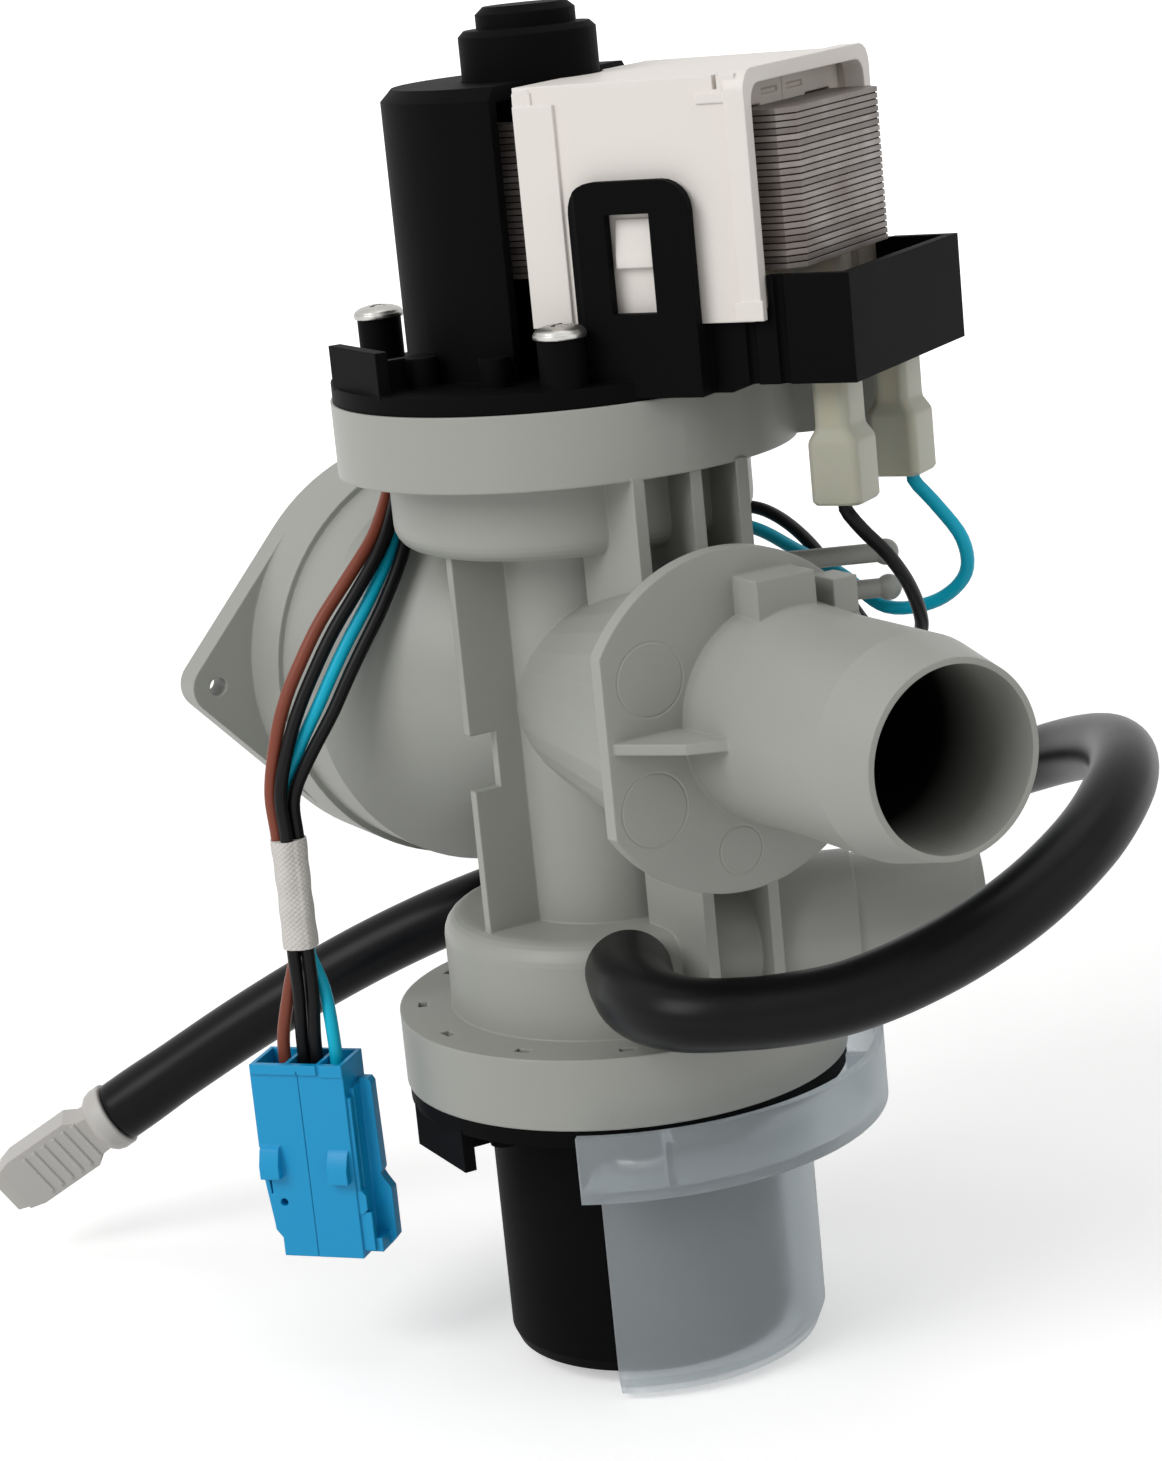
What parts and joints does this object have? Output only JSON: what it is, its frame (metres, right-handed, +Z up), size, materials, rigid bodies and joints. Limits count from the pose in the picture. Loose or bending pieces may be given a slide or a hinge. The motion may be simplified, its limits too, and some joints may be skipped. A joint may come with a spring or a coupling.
{
  "type": "washer drain pump",
  "caption": "Washing machine drain and circulation pump: sump body with filter, inlet spigot, outlets, opposed motors, drain hose with stopper and wiring plug.",
  "frame": {"origin": "centre of the filter flange's outer face, midway between the two ear holes", "axes": "+X from the filter flange to the inlet spigot, +Z up along both motor shafts, +Y to the side of the outlets"},
  "size_m": [0.2346, 0.1809, 0.2415],
  "materials": {
    "housing_grey": "satin glass-filled polypropylene, warm grey",
    "basket_grey": "satin moulded plastic, warm grey",
    "cap_black": "satin moulded plastic, black",
    "motor_black": "satin moulded plastic, black",
    "cover_white": "smooth moulded plastic, warm white",
    "impeller_white": "smooth moulded plastic, white",
    "nylon": "satin natural nylon",
    "sleeve_clear": "milky natural nylon",
    "laminations": "stacked bare steel sheet, faintly tinted",
    "copper_wire": "enamelled copper, glossy",
    "brass": "bright brass",
    "sintered_bush": "sintered metal, matte",
    "rubber_black": "satin black rubber",
    "zinc_screws": "zinc plated",
    "ferrite": "matte dark ferrite",
    "shaft_steel": "ground steel",
    "drip_milky": "milky translucent plastic",
    "hose_black": "satin black rubber",
    "stopper_white": "satin plastic, light grey",
    "wire_black": "soft insulation, black",
    "wire_blue": "soft insulation, blue",
    "wire_brown": "soft insulation, brown",
    "tie_black": "black plastic tie",
    "tape_grey": "grey cloth tape",
    "plug_blue": "satin moulded plastic, blue"
  },
  "bodies": {
    "pump_body": {"pump_housing": "housing_grey", "inlet_cover": "housing_grey", "drain_motor_housing": "motor_black", "drain_core": "laminations", "drain_coil_cover": "cover_white", "drain_bobbins": "nylon", "drain_windings": "copper_wire", "drain_terminals": "brass", "tab_receptacles": "brass", "sleeve_black_wire": "sleeve_clear", "sleeve_blue_wire": "sleeve_clear", "drain_bearing_holder": "nylon", "drain_front_bush": "sintered_bush", "drain_rear_bush": "sintered_bush", "drain_rear_grommet": "rubber_black", "drain_face_seal": "rubber_black", "drain_screws": "zinc_screws", "circ_motor_base": "motor_black", "circ_motor_cup": "motor_black", "circ_core": "laminations", "circ_windings": "copper_wire", "circ_terminals": "brass", "circ_sleeves": "sleeve_clear", "circ_bearing_holder": "nylon", "circ_front_bush": "sintered_bush", "circ_rear_bush": "sintered_bush", "circ_rear_grommet": "rubber_black", "circ_face_seal": "rubber_black", "circ_screws": "zinc_screws", "drip_cover": "drip_milky", "hose_elbow": "hose_black", "drain_hose": "hose_black", "wire_black_drain": "wire_black", "wire_blue_drain": "wire_blue", "wire_brown_circ": "wire_brown", "wire_black_circ": "wire_black", "harness_tie": "tie_black", "harness_trunk": "wire_black", "harness_tape": "tape_grey", "tail_brown": "wire_brown", "tail_black_pair": "wire_black", "tail_blue": "wire_blue", "plug_connector": "plug_blue", "plug_contacts": "brass"},
    "drain_rotor": {"drain_magnet": "ferrite", "drain_shaft": "shaft_steel", "drain_drive_dog": "nylon", "drain_impeller_clip": "shaft_steel"},
    "drain_wheel": {"drain_impeller": "impeller_white"},
    "circ_rotor": {"circ_magnet": "ferrite", "circ_shaft": "shaft_steel", "circ_drive_dog": "nylon", "circ_impeller_clip": "shaft_steel"},
    "circ_wheel": {"circ_impeller": "impeller_white"},
    "filter_carrier": {"filter_seal": "rubber_black"},
    "filter_insert": {"filter_cap": "cap_black", "filter_basket": "basket_grey"},
    "stopper": {"hose_stopper": "stopper_white"}
  },
  "joints": [
    {"name": "drain_spin", "type": "hinge", "parent": "pump_body", "child": "drain_rotor", "pos_m": [0.0646, 0, 0.08], "axis": [0, 0, 1], "continuous": true},
    {"name": "drain_wheel_play", "type": "hinge", "parent": "drain_rotor", "child": "drain_wheel", "pos_m": [0.0646, 0, 0.045], "axis": [0, 0, 1], "range_deg": [-136, 136]},
    {"name": "circ_spin", "type": "hinge", "parent": "pump_body", "child": "circ_rotor", "pos_m": [0.0646, 0, -0.09], "axis": [0, 0, 1], "continuous": true},
    {"name": "circ_wheel_play", "type": "hinge", "parent": "circ_rotor", "child": "circ_wheel", "pos_m": [0.0646, 0, -0.058], "axis": [0, 0, 1], "range_deg": [-136, 136]},
    {"name": "filter_pull", "type": "slide", "parent": "pump_body", "child": "filter_carrier", "axis": [-1, 0, 0], "range_m": [0, 0.06]},
    {"name": "filter_turn", "type": "hinge", "parent": "filter_carrier", "child": "filter_insert", "pos_m": [0.009, 0, 0], "axis": [-1, 0, 0], "range_deg": [0, 90]},
    {"name": "stopper_pull", "type": "slide", "parent": "pump_body", "child": "stopper", "axis": [-0.4639, -0.7229, -0.5121], "range_m": [0, 0.02]}
  ]
}
